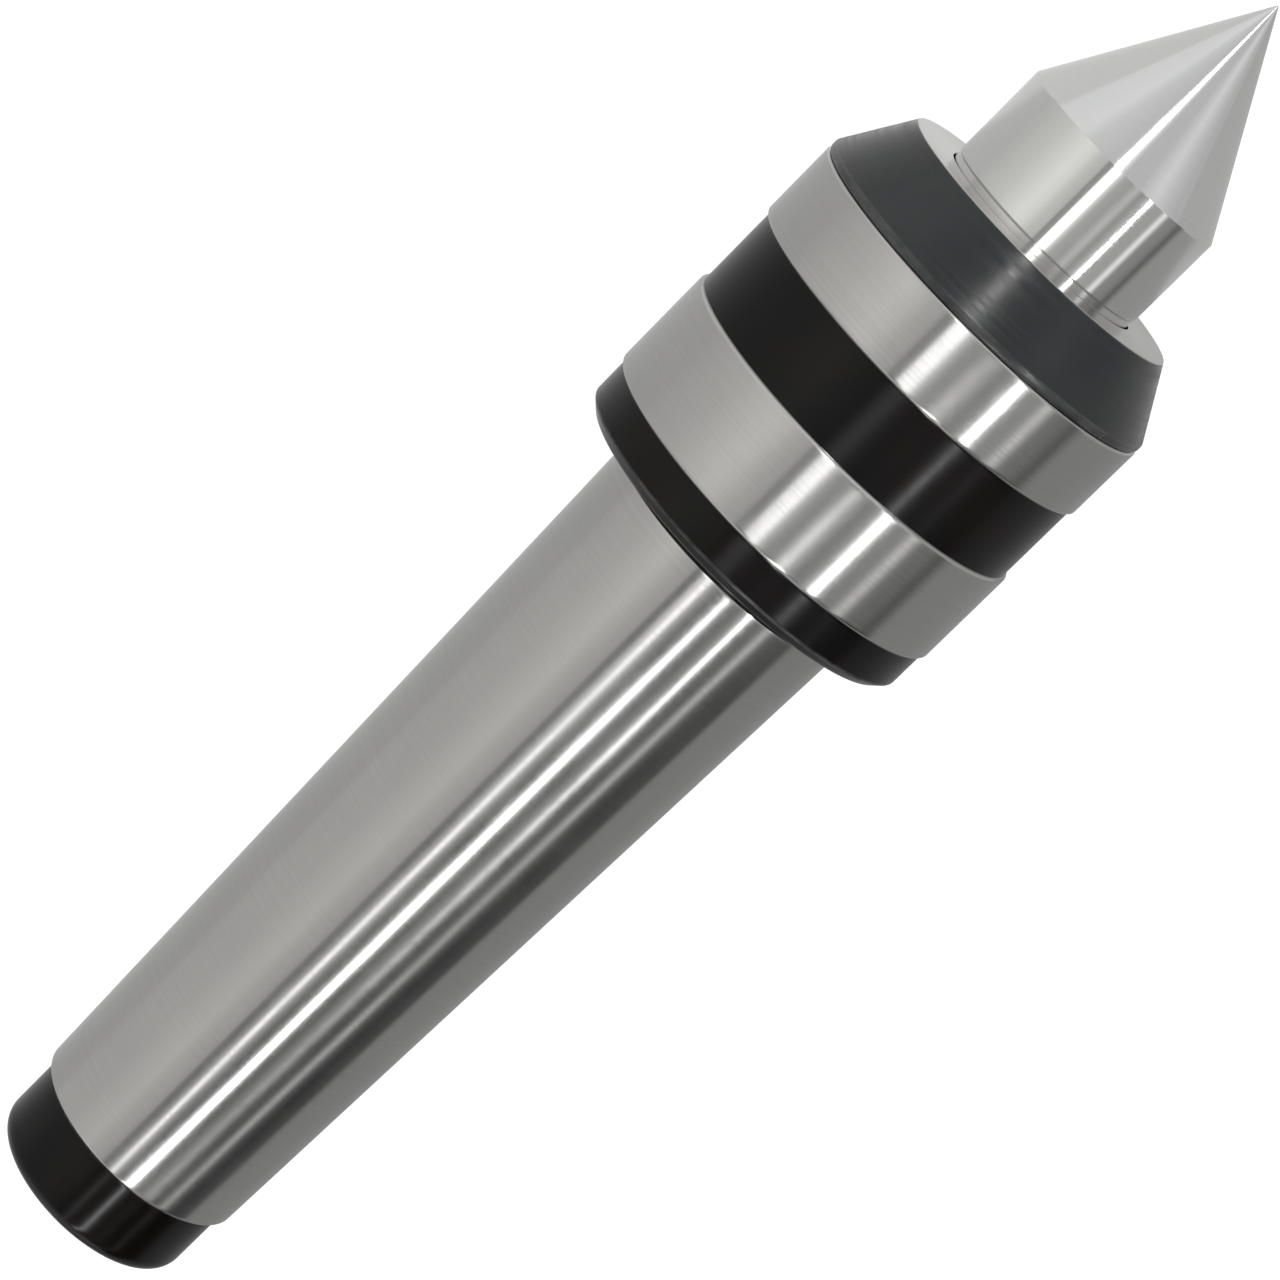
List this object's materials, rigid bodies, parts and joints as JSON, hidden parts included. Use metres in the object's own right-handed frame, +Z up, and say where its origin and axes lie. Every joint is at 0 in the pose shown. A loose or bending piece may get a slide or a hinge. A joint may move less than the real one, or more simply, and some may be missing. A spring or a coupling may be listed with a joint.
{
  "type": "live center",
  "caption": "Revolving lathe centre: a 60 degree point turns in ball, thrust and needle bearings inside a round head on a Morse taper shank.",
  "frame": {"origin": "centre of the Morse taper's gauge plane, where the shank is 31.267 mm across, 6.5 mm behind the head's rear face", "axes": "+X along the turning axis towards the point's tip, -X towards the shank's tail; +Z up and +Y across, both free because every outer surface is round about X"},
  "size_m": [0.183, 0.0444, 0.0445],
  "materials": {
    "ground_tool_steel": "hardened and ground bright steel, with black oxide left on the band, rear rim and tail",
    "polished_tool_steel": "hardened steel, fine ground and polished",
    "black_oxide_steel": "turned steel under satin black oxide",
    "bearing_steel": "lapped bearing steel",
    "pressed_steel": "pressed and tumbled steel",
    "shim_steel": "flat ground steel",
    "cage_brass": "machined brass",
    "nitrile_rubber": "moulded nitrile rubber, lightly greased"
  },
  "bodies": {
    "housing": {"shank_body": "ground_tool_steel", "front_cap": "black_oxide_steel", "cap_o_ring": "nitrile_rubber", "point_seal": "nitrile_rubber", "front_bearing_outer_ring": "bearing_steel", "front_bearing_seal_front": "nitrile_rubber", "front_bearing_seal_rear": "nitrile_rubber", "thrust_housing_washer": "bearing_steel", "thrust_shim": "shim_steel", "needle_cup": "pressed_steel"},
    "spindle": {"point_spindle": "polished_tool_steel", "front_bearing_inner_ring": "bearing_steel", "bearing_circlip": "black_oxide_steel", "thrust_shaft_washer": "bearing_steel"},
    "front_ball_set": {"front_bearing_cage": "cage_brass", "front_bearing_balls": "bearing_steel"},
    "thrust_ball_set": {"thrust_cage": "pressed_steel", "thrust_balls": "bearing_steel"},
    "needle_set": {"needle_cage": "pressed_steel", "needle_rollers": "bearing_steel"}
  },
  "joints": [
    {"name": "spindle_spin", "type": "hinge", "parent": "housing", "child": "spindle", "pos_m": [0, 0, 0], "axis": [1, 0, 0], "continuous": true},
    {"name": "front_ball_orbit", "type": "hinge", "parent": "housing", "child": "front_ball_set", "pos_m": [0, 0, 0], "axis": [1, 0, 0], "continuous": true},
    {"name": "thrust_ball_orbit", "type": "hinge", "parent": "housing", "child": "thrust_ball_set", "pos_m": [0, 0, 0], "axis": [1, 0, 0], "continuous": true},
    {"name": "needle_orbit", "type": "hinge", "parent": "housing", "child": "needle_set", "pos_m": [0, 0, 0], "axis": [1, 0, 0], "continuous": true}
  ],
  "couplings": [
    {"joint": "front_ball_orbit", "follows": "spindle_spin", "ratio": 0.41646},
    {"joint": "thrust_ball_orbit", "follows": "spindle_spin", "ratio": 0.5},
    {"joint": "needle_orbit", "follows": "spindle_spin", "ratio": 0.44235}
  ]
}
